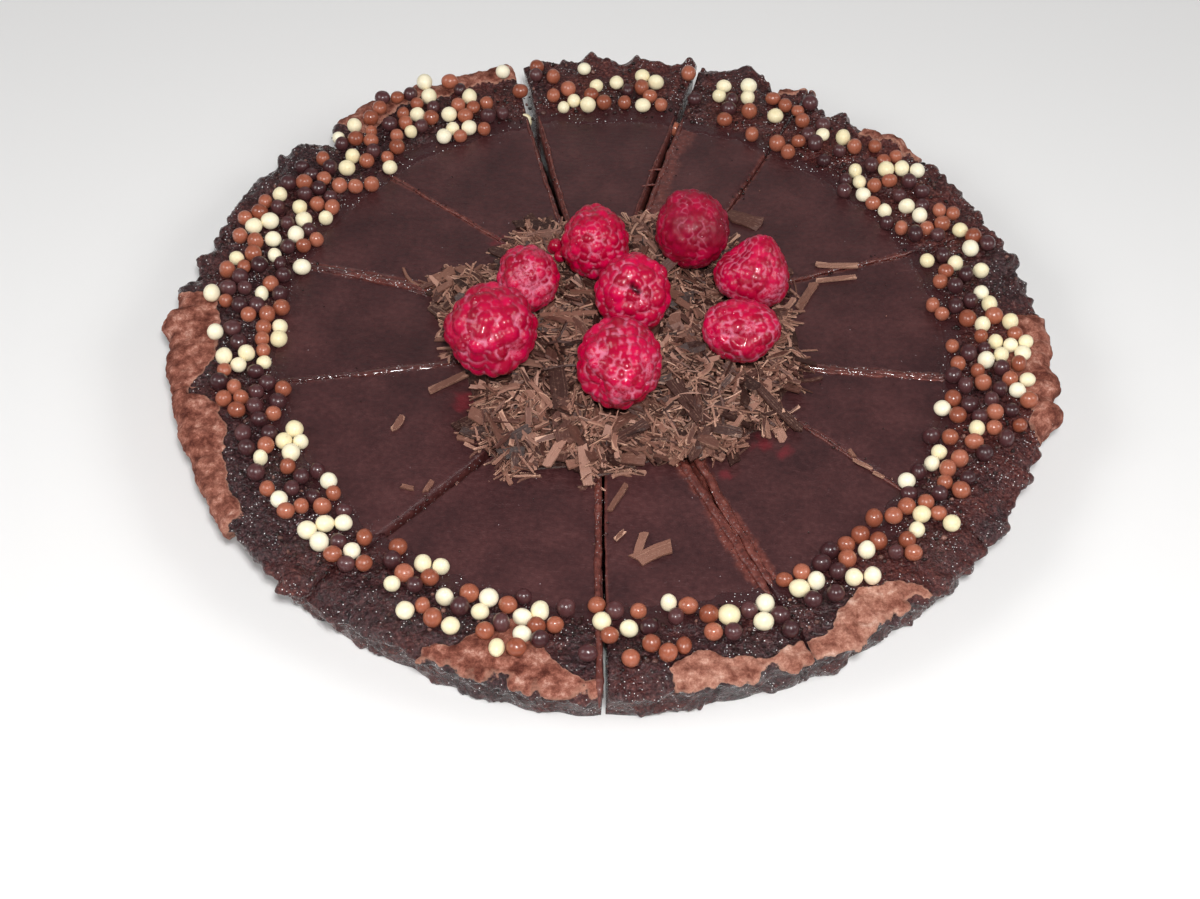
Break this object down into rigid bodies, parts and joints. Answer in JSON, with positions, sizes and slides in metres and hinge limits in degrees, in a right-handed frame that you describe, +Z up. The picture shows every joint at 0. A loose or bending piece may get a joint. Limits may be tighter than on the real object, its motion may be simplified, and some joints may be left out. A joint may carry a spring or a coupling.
{
  "type": "chocolate tart",
  "caption": "Round fluted chocolate tart cut into slices, ganache filling in a cocoa crumb crust, topped with raspberries, chocolate shavings and crunchy pearls.",
  "frame": {"origin": "centre of the underside, where the tart rests", "axes": "+Z up out of the tart's top, +X to the right and +Y to the back as it is shown from the front"},
  "size_m": [0.2389, 0.2408, 0.0455],
  "materials": {
    "cocoa_crust": "dark cocoa biscuit crumb, moist, with pale dusty skin in places",
    "ganache": "set dark chocolate ganache, soft satin top",
    "raspberry": "fresh raspberry, glossy drupelets with a pale bloom between them",
    "chocolate_shavings": "grained dark chocolate shavings with lighter edges",
    "ivory_pearls": "ivory chocolate coating, satin gloss",
    "milk_chocolate_pearls": "milk chocolate coating, polished",
    "dark_chocolate_pearls": "dark chocolate coating, polished"
  },
  "bodies": {
    "root": {"crust_01": "cocoa_crust", "crust_02": "cocoa_crust", "crust_03": "cocoa_crust", "crust_04": "cocoa_crust", "crust_05": "cocoa_crust", "crust_06": "cocoa_crust", "crust_07": "cocoa_crust", "crust_08": "cocoa_crust", "crust_09": "cocoa_crust", "crust_10": "cocoa_crust", "crust_11": "cocoa_crust", "crust_12": "cocoa_crust", "filling_01": "ganache", "filling_02": "ganache", "filling_03": "ganache", "filling_04": "ganache", "filling_05": "ganache", "filling_06": "ganache", "filling_07": "ganache", "filling_08": "ganache", "filling_09": "ganache", "filling_10": "ganache", "filling_11": "ganache", "filling_12": "ganache", "raspberry_1": "raspberry", "raspberry_2": "raspberry", "raspberry_3": "raspberry", "raspberry_4": "raspberry", "raspberry_5": "raspberry", "raspberry_6": "raspberry", "raspberry_7": "raspberry", "raspberry_8": "raspberry", "chocolate_shavings": "chocolate_shavings"}
  },
  "joints": []
}
